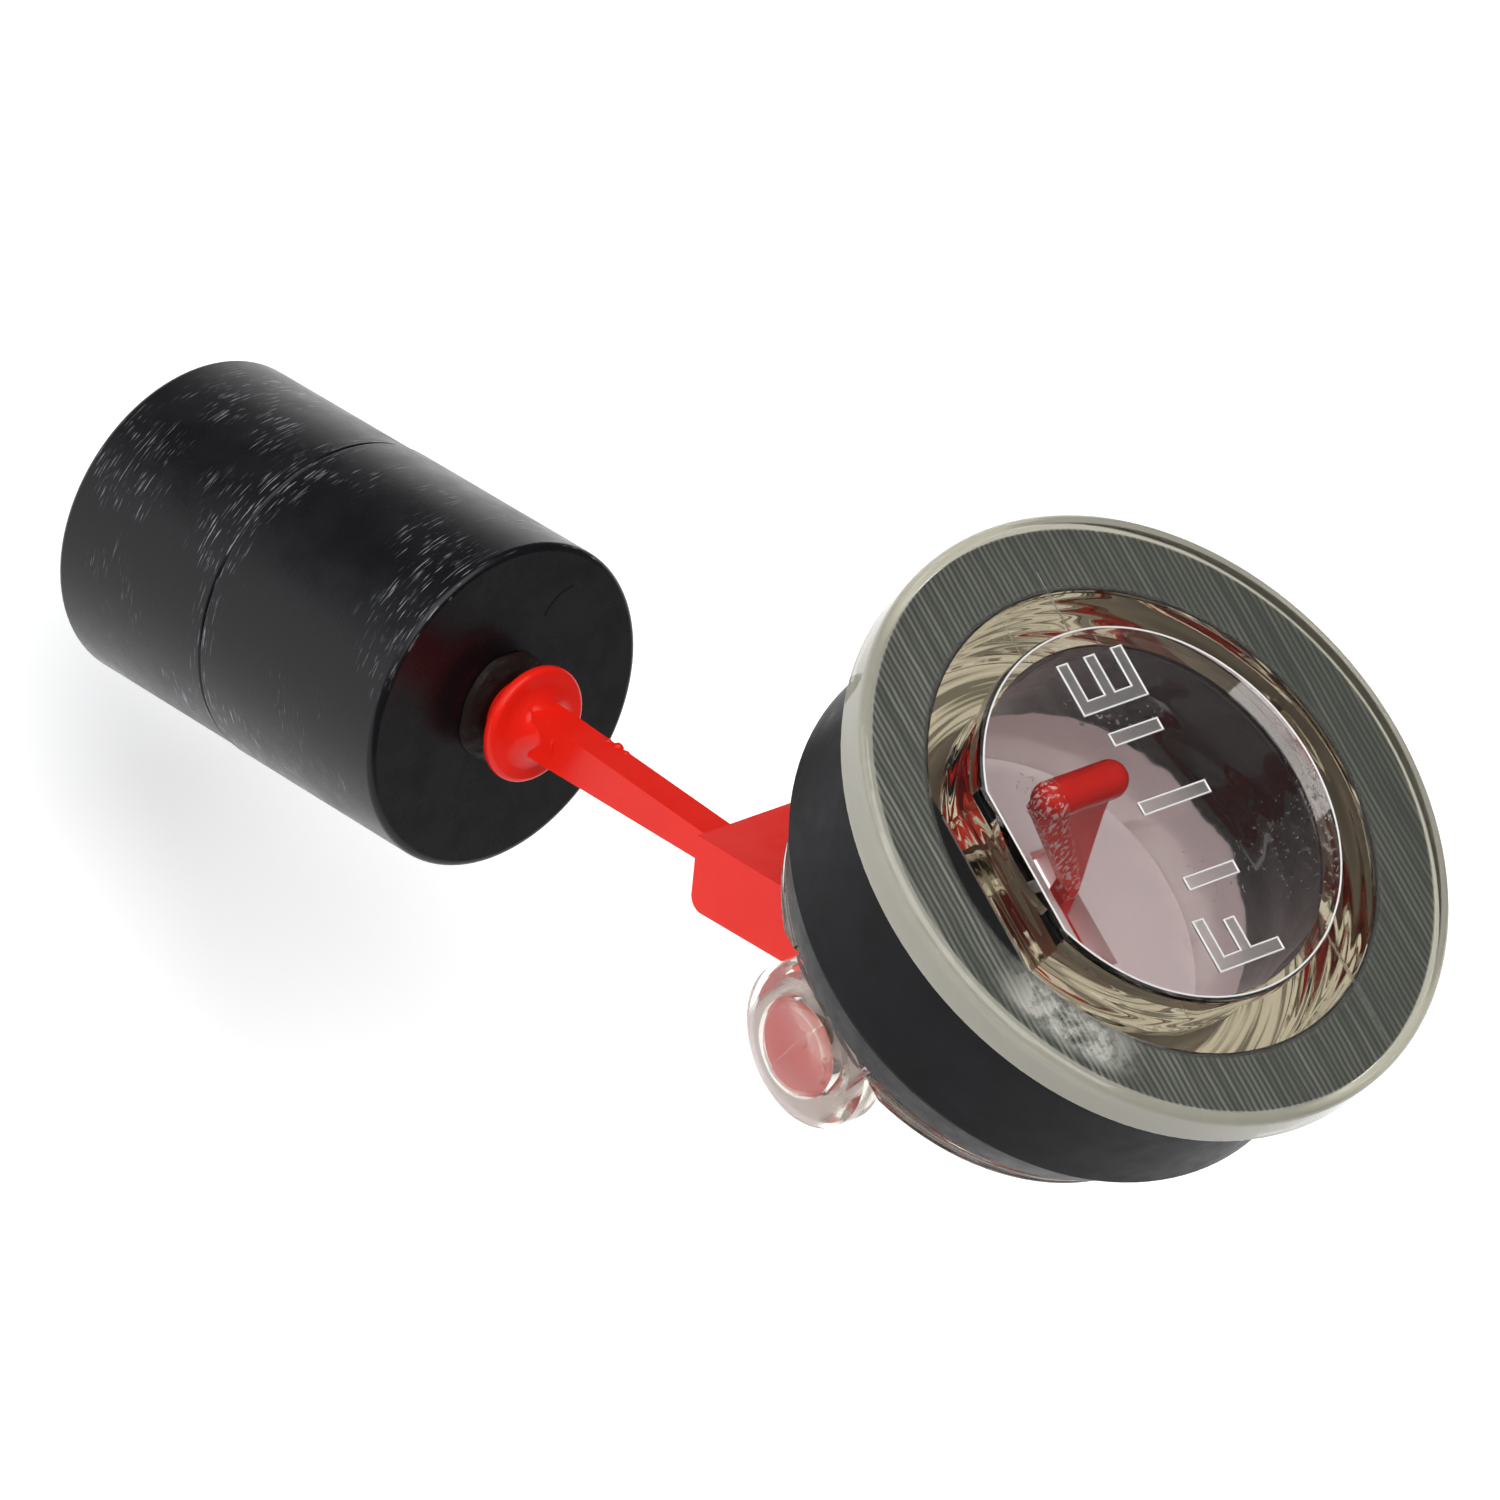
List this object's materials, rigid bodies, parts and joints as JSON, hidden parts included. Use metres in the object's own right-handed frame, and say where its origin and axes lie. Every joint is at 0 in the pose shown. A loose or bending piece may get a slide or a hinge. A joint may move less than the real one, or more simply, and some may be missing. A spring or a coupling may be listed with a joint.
{
  "type": "float fuel gauge",
  "caption": "Float-operated fuel level gauge: clear round dial housing in a rubber grommet, with a red swinging arm, pointer and black float.",
  "frame": {"origin": "centre of the flange's lower rim, where the flange rests on the tank, on the housing's axis", "axes": "+Z out of the dial face, X along the pivot, +Y towards the side that the arm and float reach to"},
  "size_m": [0.038, 0.0797, 0.0724],
  "materials": {
    "clear_plastic": "clear moulded acrylic, faintly cream in thick sections, scuffed",
    "window_plastic": "clear moulded acrylic with raised scale marks",
    "rubber": "satin black nitrile rubber",
    "red_plastic": "glossy red acetal with mould flash",
    "float_plastic": "satin black, scuffed round its girth",
    "adhesive": "dark dried adhesive, lumpy"
  },
  "bodies": {
    "gauge": {"housing": "clear_plastic", "dial_window": "window_plastic", "grommet": "rubber"},
    "arm": {"float_arm": "red_plastic", "float_bond": "adhesive", "float_front": "float_plastic", "float_rear": "float_plastic"}
  },
  "joints": [
    {"name": "arm_swing", "type": "hinge", "parent": "gauge", "child": "arm", "pos_m": [0, 0, -0.0192], "axis": [1, 0, 0], "range_deg": [-15, 38]}
  ]
}
